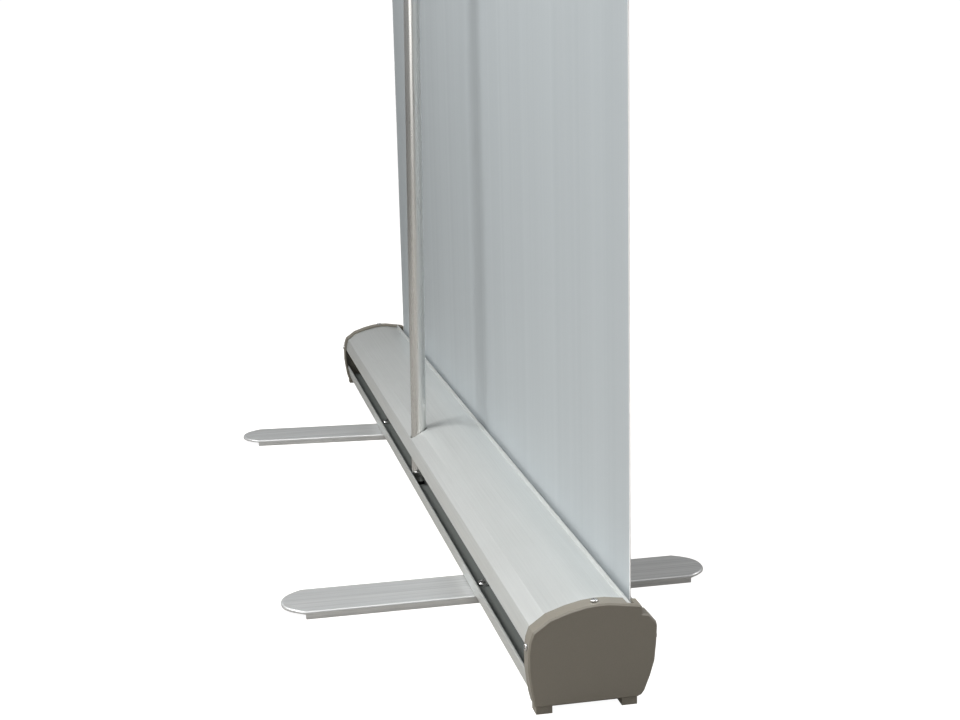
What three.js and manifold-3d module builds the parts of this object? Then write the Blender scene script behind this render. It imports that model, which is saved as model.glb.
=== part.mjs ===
// Roll-up banner stand: an aluminium cassette on two swing-out feet, a sprung roller inside it,
// a banner film drawn up through the front slot, a three-piece pole behind the film and a
// clamp rail along its top edge. Millimetres, +Z up. X runs along the cassette, -Y is the side
// the graphic faces and the floor is z = 0, below the middle of the feet.

import * as THREE from "three";
import { mergeVertices } from "three/addons/utils/BufferGeometryUtils.js";
import Module from "manifold-3d";

const wasm = await Module();
wasm.setup();

// ---------------------------------------------------------------- driving dimensions

const GAP = 0.3; // clearance left wherever two pieces meet

const FILM_WIDTH = 850;
const FILM_THICK = 0.5;
const FILM_Y = -40.3;

const HALF_LENGTH = 443; // cassette, over the end caps
const CAP_PLATE = 3;
const CAP_RIM = 11; // how far each cap reaches over the profiles
const RIM_WALL = 1.5;
const CAP_EDGE = 1; // bevel round the cap's outer face
const PROFILE_HALF = HALF_LENGTH - CAP_PLATE - GAP;

const ROLL_Y = -22.5;
const ROLL_Z = 34.5;
const ROLL_RADIUS = 16.4;
const ROLL_WALL = 1.2;
const ROLL_HALF = 428;
const WOUND_RADIUS = 17.25;

const FLOOR_BOTTOM = 6.8;
const FLOOR_TOP = 8.4;

const FOOT_LENGTH = 298;
const FOOT_WIDTH = 44;
const FOOT_HEIGHT = 5.4;
const FOOT_PLATE = 2;
const FOOT_TIP = 15; // how far the corners of a foot's end fall back
const PIVOT_Y = 11.4;
const PIVOT_OFFSET = 10; // each pivot lies this far outward of its foot's centre line
const LEFT_PIVOT_X = -250.5;
const RIGHT_PIVOT_X = 211.5;
const RIGHT_FOOT_SWING = -5.3; // degrees the right foot stands off square

const POLE_Y = 14; // at the cassette floor
const POLE_LEAN = THREE.MathUtils.degToRad(0.87);
const POLE_RADIUS = 6.3;
const POLE_WALL = 0.8;
const POLE_BOTTOM = 12; // along the pole, from the cassette floor
const LOWER_END = 690;
const MIDDLE_END = 1375;
const UPPER_END = 2030;
const FERRULE_REACH = 50; // on each side of a joint in the pole
const FERRULE_WALL = 1;

const RAIL_HALF = 426;
const RAIL_BOTTOM = 2046;
const RAIL_CAP = 2.5;

const ROUND = 32; // sides of a turned piece
const SMALL_ROUND = 20;

// ---------------------------------------------------------------- materials

const alloy = () => finish(0xc9cccb, 0.38, 0.85);
const brushed = () => finish(0xbfc1bf, 0.42, 0.9);
const capPlastic = () => finish(0x6e6860, 0.6, 0);
const darkPlastic = () => finish(0x1c1c1d, 0.5, 0);
const rubber = () => finish(0x141414, 0.9, 0);
const plated = () => finish(0xd0d2d4, 0.25, 1);
const steel = () => finish(0x8d9094, 0.4, 1);
const film = () => finish(0xb4bcc0, 0.55, 0);
const cordCover = () => finish(0x2a2a2e, 0.9, 0);

function finish(color, roughness, metalness) {
  return new THREE.MeshStandardMaterial({ color, roughness, metalness });
}

// ---------------------------------------------------------------- solids

// Position-only geometry with shared vertices, no collapsed triangles and outward faces.
function closed(geometry) {
  const bare = new THREE.BufferGeometry();
  bare.setAttribute("position", geometry.getAttribute("position"));
  bare.setIndex(geometry.getIndex());
  const merged = mergeVertices(bare, 1e-4);
  const position = merged.getAttribute("position");
  const index = merged.getIndex().array;
  const kept = [];
  let volume = 0;
  const corner = [new THREE.Vector3(), new THREE.Vector3(), new THREE.Vector3()];
  for (let i = 0; i < index.length; i += 3) {
    const [a, b, c] = [index[i], index[i + 1], index[i + 2]];
    if (a === b || b === c || c === a) continue;
    kept.push(a, b, c);
    [a, b, c].forEach((vertex, n) => corner[n].fromBufferAttribute(position, vertex));
    volume += corner[0].dot(corner[1].cross(corner[2]));
  }
  if (volume < 0) kept.reverse();
  merged.setIndex(kept);
  return merged;
}

function toManifold(geometry) {
  const solid = closed(geometry);
  return new wasm.Manifold(
    new wasm.Mesh({
      numProp: 3,
      vertProperties: new Float32Array(solid.getAttribute("position").array),
      triVerts: new Uint32Array(solid.getIndex().array),
    }),
  );
}

function fromManifold(solid) {
  const mesh = solid.getMesh();
  const geometry = new THREE.BufferGeometry();
  geometry.setAttribute("position", new THREE.BufferAttribute(mesh.vertProperties, 3));
  geometry.setIndex(new THREE.BufferAttribute(mesh.triVerts, 1));
  return closed(geometry);
}

function cut(geometry, tools) {
  const start = toManifold(geometry);
  return fromManifold(tools.reduce((solid, tool) => solid.subtract(toManifold(tool)), start));
}

function join(geometries) {
  const [first, ...rest] = geometries.map(toManifold);
  return fromManifold(rest.reduce((solid, next) => solid.add(next), first));
}

function extruded(outline, depth) {
  const shape = new THREE.Shape(outline.map(([a, b]) => new THREE.Vector2(a, b)));
  return new THREE.ExtrudeGeometry(shape, { depth, bevelEnabled: false });
}

// An outline of (y, z) points swept from x0 to x1.
function extrudeX(outline, x0, x1) {
  const geometry = extruded(outline, x1 - x0);
  const toX = new THREE.Matrix4().makeBasis(
    new THREE.Vector3(0, 1, 0),
    new THREE.Vector3(0, 0, 1),
    new THREE.Vector3(1, 0, 0),
  );
  return geometry.applyMatrix4(toX).translate(x0, 0, 0);
}

// An outline of (x, y) points swept from z0 to z1.
function extrudeZ(outline, z0, z1) {
  return extruded(outline, z1 - z0).translate(0, 0, z0);
}

// A ring or disc about an axis, from radius `inner` (0 for a disc) to `outer`.
function turned(inner, outer, low, high, sides = ROUND) {
  const profile = [
    new THREE.Vector2(inner, low),
    new THREE.Vector2(outer, low),
    new THREE.Vector2(outer, high),
    new THREE.Vector2(inner, high),
  ];
  if (inner > 0) profile.push(profile[0].clone());
  return new THREE.LatheGeometry(profile, sides);
}

const turnedX = (...sizes) => turned(...sizes).rotateZ(-Math.PI / 2);
const turnedZ = (...sizes) => turned(...sizes).rotateX(Math.PI / 2);
const turnedY = (...sizes) => turned(...sizes);

function box(x0, x1, y0, y1, z0, z1) {
  const geometry = new THREE.BoxGeometry(x1 - x0, y1 - y0, z1 - z0);
  return geometry.translate((x0 + x1) / 2, (y0 + y1) / 2, (z0 + z1) / 2);
}

// An outline moved inward by `inset` along the mitre of each corner.
function insetOutline(outline, inset) {
  const turn = THREE.ShapeUtils.area(outline.map(([a, b]) => new THREE.Vector2(a, b)));
  const side = Math.sign(turn);
  return outline.map((point, i) => {
    const before = outline.at(i - 1);
    const after = outline[(i + 1) % outline.length];
    const into = new THREE.Vector2(point[0] - before[0], point[1] - before[1]).normalize();
    const out = new THREE.Vector2(after[0] - point[0], after[1] - point[1]).normalize();
    const mitre = new THREE.Vector2(-(into.y + out.y), into.x + out.x).normalize();
    const reach = (side * inset) / Math.max(mitre.dot(new THREE.Vector2(-into.y, into.x)), 0.4);
    return [point[0] + mitre.x * reach, point[1] + mitre.y * reach];
  });
}

// ---------------------------------------------------------------- scene graph

const stand = new THREE.Group();
const poleAxis = new THREE.Group();
poleAxis.position.set(0, POLE_Y, FLOOR_TOP);
poleAxis.rotation.x = POLE_LEAN;
stand.add(poleAxis);

function add(name, geometry, material, parent = stand) {
  const mesh = new THREE.Mesh(closed(geometry), material);
  mesh.name = name;
  parent.add(mesh);
  return mesh;
}

// ---------------------------------------------------------------- cassette

// Rim of an end cap, as (y, z) points: up the front, over the arch and down the rear.
const CAP_OUTLINE = [
  [-38.6, 4.4],
  [-41.4, 5.6],
  [-43.2, 8],
  [-46.6, 16.7],
  [-49.2, 25.5],
  [-50.3, 36.6],
  [-50.8, 46.6],
  [-50.1, 49.4],
  [-46.1, 54.1],
  [-42.3, 54.8],
  [-42.2, 58.2],
  [-41.1, 60.1],
  [-36.9, 60.7],
  [-28.8, 62],
  [-22.6, 62.9],
  [-16.6, 63],
  [-8.5, 62.3],
  [1, 60.2],
  [12.4, 56.4],
  [22, 49.6],
  [24, 44],
  [24.9, 37],
  [24.9, 26],
  [23.9, 17.8],
  [22.8, 10.6],
  [21.6, 5.4],
  [20.6, 4.4],
];

const PADS = [
  [-38.9, -29.8],
  [11.2, 20.7],
];

const TOP_SCREW_Y = -15;
const TOP_SCREW_Z = 63;
const SIDE_SCREW_Z = 39.5;
const SCREW_X = HALF_LENGTH - 5.5;
const SCREW_SHANK = 1.2;
const SCREW_HOLE = 1.55;
const SCREW_HEAD = 2.2;
const SCREW_HEAD_THICK = 1;
const SCREW_LENGTH = 6.5;
const REAR_RIM_Y = 24.6;
const FRONT_RIM_Y = -50.45;

// The three screws of a cap; each function places a shape that is turned about +Y.
const screwPlaces = {
  top: (shape) => shape.rotateX(Math.PI / 2).translate(0, TOP_SCREW_Y, TOP_SCREW_Z),
  rear: (shape) => shape.translate(0, REAR_RIM_Y, SIDE_SCREW_Z),
  front: (shape) => shape.rotateX(Math.PI).translate(0, FRONT_RIM_Y, SIDE_SCREW_Z),
};

function screwHoles(side) {
  return Object.values(screwPlaces).map((place) =>
    place(turnedY(0, SCREW_HOLE, -SCREW_LENGTH - 1, 3, SMALL_ROUND)).translate(side * SCREW_X, 0, 0),
  );
}

function addCapScrews(capName, side) {
  Object.entries(screwPlaces).forEach(([where, place]) => {
    const head = turnedY(0, SCREW_HEAD, GAP, GAP + SCREW_HEAD_THICK, SMALL_ROUND);
    const shank = turnedY(0, SCREW_SHANK, -SCREW_LENGTH, GAP + SCREW_HEAD_THICK / 2, SMALL_ROUND);
    const screw = place(join([head, shank])).translate(side * SCREW_X, 0, 0);
    add(`cap_screw_${capName}_${where}`, screw, plated());
  });
}

function endCap(side) {
  const rings = [
    [insetOutline(CAP_OUTLINE, CAP_EDGE), HALF_LENGTH],
    [CAP_OUTLINE, HALF_LENGTH - CAP_EDGE],
    [CAP_OUTLINE, HALF_LENGTH - CAP_RIM],
  ];
  const inner = HALF_LENGTH - CAP_PLATE;
  const pocket = extrudeX(insetOutline(CAP_OUTLINE, RIM_WALL), inner - CAP_RIM, inner);
  const beadNotch = box(inner - CAP_RIM, inner, -38, -33.6, 55, 70);
  const pads = PADS.map(([y0, y1]) => box(HALF_LENGTH - CAP_RIM, HALF_LENGTH - CAP_EDGE, y0, y1, 0, 5));
  const shell = cut(join([loft(rings), ...pads]), [pocket, beadNotch]);
  const cap = side > 0 ? shell : closed(shell.clone().scale(-1, 1, 1));
  return cut(cap, screwHoles(side));
}

// A solid through equal-sized rings of (y, z) points, each at its own x.
function loft(rings) {
  const count = rings[0][0].length;
  const position = rings.flatMap(([outline, x]) => outline.flatMap(([y, z]) => [x, y, z]));
  const index = [];
  for (let ring = 0; ring + 1 < rings.length; ring += 1) {
    for (let i = 0; i < count; i += 1) {
      const a = ring * count + i;
      const b = ring * count + ((i + 1) % count);
      index.push(a, b, b + count, a, b + count, a + count);
    }
  }
  const ends = [0, rings.length - 1];
  ends.forEach((ring) => {
    const flat = rings[ring][0].map(([y, z]) => new THREE.Vector2(y, z));
    THREE.ShapeUtils.triangulateShape(flat, []).forEach((face) => {
      const lifted = face.map((vertex) => vertex + ring * count);
      index.push(...(ring === 0 ? lifted : lifted.reverse()));
    });
  });
  const geometry = new THREE.BufferGeometry();
  geometry.setAttribute("position", new THREE.Float32BufferAttribute(position, 3));
  geometry.setIndex(index);
  return closed(geometry);
}

// Floor, front wall, rear lip and the wall between the roller and the pole channel.
const BASE_OUTLINE = [
  [22, 19.2],
  [22.1, 18.4],
  [21.6, 14.8],
  [21.1, 14.2],
  [20.8, 10.4],
  [20, FLOOR_BOTTOM],
  [-37.6, FLOOR_BOTTOM],
  [-40.7, 9],
  [-44.6, 17.1],
  [-47.2, 25.6],
  [-48.3, 36.6],
  [-48.8, 46.5],
  [-48.1, 49],
  [-45.2, 52.4],
  [-43.6, 52.4],
  [-43.6, 51],
  [-46.2, 48.2],
  [-46.9, 46.3],
  [-46.5, 36.6],
  [-45.5, 26],
  [-43, 17.4],
  [-39.7, 10.1],
  [-37.2, FLOOR_TOP],
  [5.2, FLOOR_TOP],
  [5.2, 50.5],
  [6.8, 50.5],
  [6.8, FLOOR_TOP],
  [18.8, FLOOR_TOP],
  [19.5, 11],
  [19.8, 14.2],
  [20.8, 19.2],
];

// Arched cover: slot bead, front strip, arch, facet and rear skirt, with a tab that hooks
// behind the inner wall.
const COVER_OUTLINE = [
  [23.1, 37.2],
  [22.3, 43.4],
  [20.6, 48.4],
  [12, 54.8],
  [0.6, 58.3],
  [-8.7, 60.4],
  [-16.6, 61.2],
  [-22.6, 61.1],
  [-34.2, 58.7],
  [-35, 59.8],
  [-36.2, 60.2],
  [-37.2, 59.4],
  [-37.2, 57.4],
  [-34.4, 57],
  [-28.4, 58.2],
  [-22.3, 59.4],
  [-16.6, 59.5],
  [-8.9, 58.7],
  [0.1, 56.7],
  [3.3, 55.8],
  [3.3, 47],
  [4.9, 47],
  [4.9, 55.3],
  [11.3, 53.3],
  [19.2, 47.5],
  [20.7, 43.1],
  [21.4, 37.2],
];

const HOLE_CLEARANCE = 0.7;

function poleHole() {
  const hole = turnedZ(0, POLE_RADIUS + HOLE_CLEARANCE, 15, 70);
  return hole.rotateX(POLE_LEAN).translate(0, POLE_Y, FLOOR_TOP);
}

const PIVOT_BOLT = 2.4;
const PIVOT_HOLE = 3;
const pivots = [
  { name: "left", x: LEFT_PIVOT_X, side: -1, swing: 0 },
  { name: "right", x: RIGHT_PIVOT_X, side: 1, swing: RIGHT_FOOT_SWING },
];

function pivotHoles() {
  const hole = () => turnedZ(0, PIVOT_HOLE, 0, 2 * FLOOR_TOP, SMALL_ROUND);
  return pivots.map(({ x }) => hole().translate(x, PIVOT_Y, 0));
}

function addCassette() {
  const base = extrudeX(BASE_OUTLINE, -PROFILE_HALF, PROFILE_HALF);
  const cover = extrudeX(COVER_OUTLINE, -PROFILE_HALF, PROFILE_HALF);
  const holes = [...screwHoles(1), ...screwHoles(-1)];
  add("base_profile", cut(base, [...pivotHoles(), ...holes]), alloy());
  add("top_cover", cut(cover, [poleHole(), ...holes]), alloy());
  [
    ["left", -1],
    ["right", 1],
  ].forEach(([name, side]) => {
    add(`end_cap_${name}`, endCap(side), capPlastic());
    addCapScrews(name, side);
  });
}

// ---------------------------------------------------------------- roller and spring

const SHAFT_RADIUS = 4;
const PLUG_DEPTH = 19;
const FLANGE_RADIUS = 18.4;
const FLANGE_THICK = 1.8;
const SPRING_OUTER = 12.5;
const SPRING_INNER = 10.5;
const SPRING_START = -ROLL_HALF + PLUG_DEPTH + GAP;
const SPRING_END = -60;
const ANCHOR_WIDTH = 12;

function addRoller() {
  const place = (geometry) => geometry.translate(0, ROLL_Y, ROLL_Z);
  const tubeInner = ROLL_RADIUS - ROLL_WALL;
  const bore = SHAFT_RADIUS + GAP;
  const filmHalf = FILM_WIDTH / 2;
  add("roller_tube", place(turnedX(tubeInner, ROLL_RADIUS, -ROLL_HALF, ROLL_HALF)), alloy());
  const wound = turnedX(ROLL_RADIUS + GAP, WOUND_RADIUS, -filmHalf, filmHalf);
  add("wound_film", place(wound), film());

  // A plug in each end of the tube: a hub inside it and a flange over its edge.
  const plug = (side) => {
    const hub = turnedX(bore, tubeInner - GAP, ROLL_HALF - PLUG_DEPTH, ROLL_HALF + GAP + 1);
    const flange = turnedX(bore, FLANGE_RADIUS, ROLL_HALF + GAP, ROLL_HALF + GAP + FLANGE_THICK);
    const joined = join([hub, flange]);
    return place(side > 0 ? joined : closed(joined.scale(-1, 1, 1)));
  };
  add("drive_plug", plug(-1), darkPlastic());
  add("idler_plug", plug(1), darkPlastic());

  const flangeFace = ROLL_HALF + 2 * GAP + FLANGE_THICK;
  const capInside = HALF_LENGTH - CAP_PLATE - GAP;
  const blockFace = flangeFace + 2 * GAP;
  add("shaft_block", place(turnedX(0, 11, -capInside, -blockFace)), darkPlastic());
  const shaft = turnedX(0, SHAFT_RADIUS, -blockFace + GAP, SPRING_END + ANCHOR_WIDTH);
  add("spring_shaft", place(shaft), steel());
  add("torsion_spring", place(turnedX(SPRING_INNER, SPRING_OUTER, SPRING_START, SPRING_END)), steel());
  const anchor = turnedX(bore, SPRING_OUTER, SPRING_END + GAP, SPRING_END + ANCHOR_WIDTH);
  add("spring_anchor", place(anchor), darkPlastic());
  add("idler_pin", place(turnedX(0, SHAFT_RADIUS, ROLL_HALF - PLUG_DEPTH, capInside)), steel());
  add("idler_washer", place(turnedX(bore, 9, flangeFace + GAP, capInside - GAP)), darkPlastic());
}

// ---------------------------------------------------------------- feet

function footOutline() {
  const halfWidth = FOOT_WIDTH / 2;
  const steps = 12;
  const outline = [];
  [1, -1].forEach((end) => {
    for (let i = 0; i <= steps; i += 1) {
      const across = end * (1 - (2 * i) / steps);
      const fall = FOOT_TIP * Math.abs(across) ** 2.5;
      outline.push([across * halfWidth, end * (FOOT_LENGTH / 2 - fall)]);
    }
  });
  return outline;
}

// An upturned shallow channel: a plate with its long sides turned down and its rounded tips left open.
function foot({ x, side, swing }) {
  const outline = footOutline();
  const body = extrudeZ(outline, 0, FOOT_HEIGHT);
  const hollow = extrudeZ(insetOutline(outline, FOOT_PLATE), -1, FOOT_HEIGHT - FOOT_PLATE);
  const openFrom = FOOT_LENGTH / 2 - FOOT_TIP;
  const tips = [-1, 1].map((end) => {
    const [near, far] = [end * openFrom, end * FOOT_LENGTH].sort((a, b) => a - b);
    return box(-FOOT_WIDTH, FOOT_WIDTH, near, far, -1, FOOT_HEIGHT - FOOT_PLATE);
  });
  const pivot = [side * PIVOT_OFFSET, PIVOT_Y];
  const hole = turnedZ(0, PIVOT_HOLE, -1, FOOT_HEIGHT + 1, SMALL_ROUND).translate(...pivot, 0);
  const shape = cut(body, [hollow, hole, ...tips]).translate(-pivot[0], -pivot[1], 0);
  return shape.rotateZ(THREE.MathUtils.degToRad(swing)).translate(x, PIVOT_Y, 0);
}

const BOLT_HEAD = 4.3;
const BOLT_HEAD_THICK = 2.6;
const NUT_RADIUS = 4.8;
const NUT_BORE = (PIVOT_BOLT + GAP) / Math.cos(Math.PI / 6); // corners of a six-sided bore
const NUT_BOTTOM = 0.8;
const WASHER_RADIUS = 7;

function addFeet() {
  const plateBottom = FOOT_HEIGHT - FOOT_PLATE;
  pivots.forEach((pivot) => {
    const { name } = pivot;
    const place = (geometry) => geometry.translate(pivot.x, PIVOT_Y, 0);
    add(`foot_${name}`, foot(pivot), brushed());
    const washer = turnedZ(PIVOT_HOLE, WASHER_RADIUS, FOOT_HEIGHT + GAP, FLOOR_BOTTOM - GAP);
    add(`foot_washer_${name}`, place(washer), darkPlastic());
    const headBottom = FLOOR_TOP + GAP;
    const head = turnedZ(0, BOLT_HEAD, headBottom, headBottom + BOLT_HEAD_THICK);
    const shank = turnedZ(0, PIVOT_BOLT, NUT_BOTTOM - GAP, headBottom + 1, SMALL_ROUND);
    add(`foot_bolt_${name}`, place(join([head, shank])), plated());
    const nut = turnedZ(NUT_BORE, NUT_RADIUS, NUT_BOTTOM, plateBottom - GAP, 6);
    add(`foot_nut_${name}`, place(nut), steel());
  });
}

// ---------------------------------------------------------------- pole

const POLE_PAD_RADIUS = 3.9;
const POLE_PAD_TOP = 2.3;
const PLUG_NECK = 4.2;
const PLUG_TOP = 30;
const CORD_RADIUS = 1.2;
const CORD_STOP = 3.4;
const CORD_STOP_THICK = 3;
const HEAD_STUB = 30;
const HEAD_HEIGHT = 28;
const HEAD_HALF_WIDTH = 8;
const HEAD_REAR = 8;
const HEAD_FRONT = -8;

function addPole() {
  const inner = POLE_RADIUS - POLE_WALL;
  const stub = inner - GAP;
  const tube = (name, low, high) => add(name, turnedZ(inner, POLE_RADIUS, low, high), alloy(), poleAxis);
  tube("pole_lower", POLE_BOTTOM, LOWER_END);
  tube("pole_middle", LOWER_END + GAP, MIDDLE_END);
  tube("pole_upper", MIDDLE_END + GAP, UPPER_END);
  [
    ["pole_ferrule_lower", LOWER_END],
    ["pole_ferrule_upper", MIDDLE_END],
  ].forEach(([name, joint]) => {
    const low = joint - FERRULE_REACH;
    add(name, turnedZ(stub - FERRULE_WALL, stub, low, joint + FERRULE_REACH), alloy(), poleAxis);
  });

  add("pole_seat_pad", turnedZ(0, POLE_PAD_RADIUS, GAP, POLE_PAD_TOP), rubber(), poleAxis);
  const plugProfile = [
    [0, POLE_PAD_TOP + GAP],
    [PLUG_NECK, POLE_PAD_TOP + GAP],
    [PLUG_NECK, POLE_BOTTOM - 5],
    [POLE_RADIUS, POLE_BOTTOM - 2],
    [POLE_RADIUS, POLE_BOTTOM - GAP],
    [stub, POLE_BOTTOM - GAP],
    [stub, PLUG_TOP],
    [0, PLUG_TOP],
  ].map(([radius, along]) => new THREE.Vector2(radius, along));
  const plug = new THREE.LatheGeometry(plugProfile, ROUND).rotateX(Math.PI / 2);
  add("pole_foot_plug", plug, darkPlastic(), poleAxis);

  const cordLow = PLUG_TOP + GAP;
  const cordHigh = UPPER_END - HEAD_STUB - GAP;
  const ring = (low) => turnedZ(CORD_RADIUS + GAP, CORD_STOP, low, low + CORD_STOP_THICK, SMALL_ROUND);
  add("cord_stop_lower", ring(cordLow), plated(), poleAxis);
  add("cord_stop_upper", ring(cordHigh - CORD_STOP_THICK), plated(), poleAxis);
  add("shock_cord", turnedZ(0, CORD_RADIUS, cordLow, cordHigh, 8), cordCover(), poleAxis);

  const headBase = UPPER_END + GAP;
  const headBlock = box(
    -HEAD_HALF_WIDTH,
    HEAD_HALF_WIDTH,
    HEAD_FRONT,
    HEAD_REAR,
    headBase,
    headBase + HEAD_HEIGHT,
  );
  const headStub = turnedZ(0, stub, UPPER_END - HEAD_STUB, headBase + 1);
  add("pole_head", join([headBlock, headStub]), darkPlastic(), poleAxis);
}

// ---------------------------------------------------------------- top rail and film

// Clamp rail profiles, as (y, height above the rail's lower edge).
const RAIL_BACK_OUTLINE = [
  [-39.7, 0.6],
  [-37.9, 0],
  [-36.9, 1.4],
  [-38, 3],
  [-38, 14],
  [-38, 24.4],
  [-32.4, 24.4],
  [-32.4, 16],
  [-30.8, 16],
  [-30.8, 25],
  [-32.2, 26],
  [-38, 26],
  [-38.2, 29.2],
  [-39.7, 29.2],
];
const RAIL_FRONT_OUTLINE = [
  [-40.9, 1],
  [-42.4, 0.2],
  [-44.8, 3],
  [-46.4, 9],
  [-46.9, 16],
  [-46.2, 23],
  [-44.2, 29],
  [-41.2, 31.6],
  [-39, 31.8],
  [-38.8, 30.4],
  [-41, 30.1],
  [-43.2, 27.6],
  [-44.8, 22.4],
  [-45.4, 16],
  [-44.9, 9.6],
  [-43.4, 4.4],
  [-42, 2.6],
  [-40.9, 2.6],
];
const RAIL_CAP_OUTLINE = [
  [-37.2, -0.6],
  [-42.8, -0.8],
  [-45.8, 2.6],
  [-47.4, 9],
  [-47.9, 16],
  [-47.2, 23.6],
  [-44.8, 30.2],
  [-41, 32.8],
  [-36, 32.6],
  [-31, 27],
  [-29.8, 24],
  [-29.8, 15],
  [-36.4, 4],
];
const HOOK_HALF_WIDTH = 8;
const HOOK_OUTLINE = [
  [-25.2, 2],
  [-25.2, 14.4],
  [-34, 14.4],
  [-34.4, 16],
  [-34.4, 24],
  [-36.2, 24],
  [-36.8, 22.6],
  [-36.8, 11.6],
  [-31, 10.6],
];
const FILM_INTO_RAIL = 26;

function addTopRail() {
  const place = (outline, x0, x1) => extrudeX(outline, x0, x1).translate(0, 0, RAIL_BOTTOM);
  add("rail_back", place(RAIL_BACK_OUTLINE, -RAIL_HALF, RAIL_HALF), alloy());
  add("rail_front", place(RAIL_FRONT_OUTLINE, -RAIL_HALF, RAIL_HALF), alloy());
  const inside = RAIL_HALF + GAP;
  add("rail_cap_left", place(RAIL_CAP_OUTLINE, -inside - RAIL_CAP, -inside), darkPlastic());
  add("rail_cap_right", place(RAIL_CAP_OUTLINE, inside, inside + RAIL_CAP), darkPlastic());
  add("pole_head_hook", place(HOOK_OUTLINE, -HOOK_HALF_WIDTH, HOOK_HALF_WIDTH), darkPlastic());
}

function addFilm() {
  const half = FILM_WIDTH / 2;
  const y0 = FILM_Y - FILM_THICK / 2;
  const y1 = FILM_Y + FILM_THICK / 2;
  add("banner_film", box(-half, half, y0, y1, ROLL_Z, RAIL_BOTTOM + FILM_INTO_RAIL), film());
}

addCassette();
addRoller();
addFeet();
addPole();
addTopRail();
addFilm();

export default stand;
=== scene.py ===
"""Looks of the roll-up banner stand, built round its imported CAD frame.

X runs along the cassette, -Y is the side the graphic faces and Z is up. The floor is z = 0.
Everything is in metres and every piece stands where its CAD node stands.
"""

import logging
import math
from dataclasses import dataclass
from enum import Enum
from itertools import product

import bmesh
import bpy
from mathutils import Matrix, Vector


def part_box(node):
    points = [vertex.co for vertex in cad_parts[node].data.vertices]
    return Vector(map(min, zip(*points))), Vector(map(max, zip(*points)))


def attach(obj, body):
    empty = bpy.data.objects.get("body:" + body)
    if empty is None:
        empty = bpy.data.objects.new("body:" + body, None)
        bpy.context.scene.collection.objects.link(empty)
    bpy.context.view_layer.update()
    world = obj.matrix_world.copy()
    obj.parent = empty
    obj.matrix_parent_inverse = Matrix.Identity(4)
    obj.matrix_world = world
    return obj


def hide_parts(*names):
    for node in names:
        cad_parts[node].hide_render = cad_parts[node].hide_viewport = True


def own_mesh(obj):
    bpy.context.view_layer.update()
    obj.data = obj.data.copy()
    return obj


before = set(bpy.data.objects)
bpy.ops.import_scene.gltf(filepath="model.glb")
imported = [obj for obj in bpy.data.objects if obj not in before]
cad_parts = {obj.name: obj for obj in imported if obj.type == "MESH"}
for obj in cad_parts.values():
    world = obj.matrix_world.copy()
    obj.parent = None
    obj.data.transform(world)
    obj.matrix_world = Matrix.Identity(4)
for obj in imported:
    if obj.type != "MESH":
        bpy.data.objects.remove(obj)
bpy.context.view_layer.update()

log = logging.getLogger("banner_stand")

Object = bpy.types.Object
Material = bpy.types.Material
NodeTree = bpy.types.NodeTree
Socket = bpy.types.NodeSocket
Span = tuple[float, float]
Triple = tuple[float, float, float]
Outline = list[Span]

MM = 0.001
SAME_POINT = 1e-7
WELD = 1e-6
LEVEL_WITHIN = 1e-5
FLAT_WITHIN = 0.005
SMOOTH_BELOW = math.radians(32)
CREASE_FROM = math.radians(14)
NO_CORNER = math.radians(12)
CORNER_SHARE = 0.45
FACING = 0.5
LEVEL_FACE = 0.9
DOME_STEPS = 8
COIL_STEPS = 20
WIRE_SIDES = 6
SLOW_DRIFT = 0.12
MULTIPLY = {"operation": "MULTIPLY"}


# ---- meshes


def new_object(name: str, mesh: bpy.types.Mesh) -> Object:
    """Put a mesh in the scene.

    Args:
        name: The object's name.
        mesh: Its mesh, with its place already in it.

    Returns:
        The object, at the origin.
    """
    made = bpy.data.objects.new(name.replace(" ", "_"), mesh)
    bpy.context.scene.collection.objects.link(made)
    return made


def mesh_from(name: str, corners: list[Vector], faces: list[tuple[int, ...]]) -> bpy.types.Mesh:
    """Make a mesh from corners and faces, merged and facing outward.

    Args:
        name: The mesh's name.
        corners: Its vertices.
        faces: Its faces, as vertex numbers.

    Returns:
        The mesh, shaded smooth except at its sharp edges.
    """
    mesh = bpy.data.meshes.new(name)
    mesh.from_pydata(corners, [], faces)
    shell = bmesh.new()
    shell.from_mesh(mesh)
    bmesh.ops.remove_doubles(shell, verts=shell.verts, dist=SAME_POINT)
    bmesh.ops.recalc_face_normals(shell, faces=shell.faces)
    shell.to_mesh(mesh)
    shell.free()
    shade(mesh)
    return mesh


def shade(mesh: bpy.types.Mesh, angle: float = SMOOTH_BELOW) -> None:
    """Shade a mesh smooth, but keep edges that turn by more than an angle sharp."""
    mesh.shade_smooth()
    mesh.set_sharp_from_angle(angle=angle)


def bake_modifiers(piece: Object) -> Object:
    """Turn a piece's live modifiers into plain mesh.

    Args:
        piece: An object with modifiers.

    Returns:
        The same object, with the result as its mesh and no modifiers.
    """
    bpy.context.view_layer.update()
    evaluated = piece.evaluated_get(bpy.context.evaluated_depsgraph_get())
    mesh = bpy.data.meshes.new_from_object(evaluated)
    piece.modifiers.clear()
    piece.data = mesh
    return piece


def carve(piece: Object, cutters: list[Object]) -> Object:
    """Cut shapes out of a piece.

    Args:
        piece: The piece.
        cutters: The shapes, which are used up.

    Returns:
        The piece.
    """
    for cutter in cutters:
        change = piece.modifiers.new("carve", "BOOLEAN")
        change.operation = "DIFFERENCE"
        change.solver = "EXACT"
        change.object = cutter
    bake_modifiers(piece)
    for cutter in cutters:
        bpy.data.objects.remove(cutter)
    return piece


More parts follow.
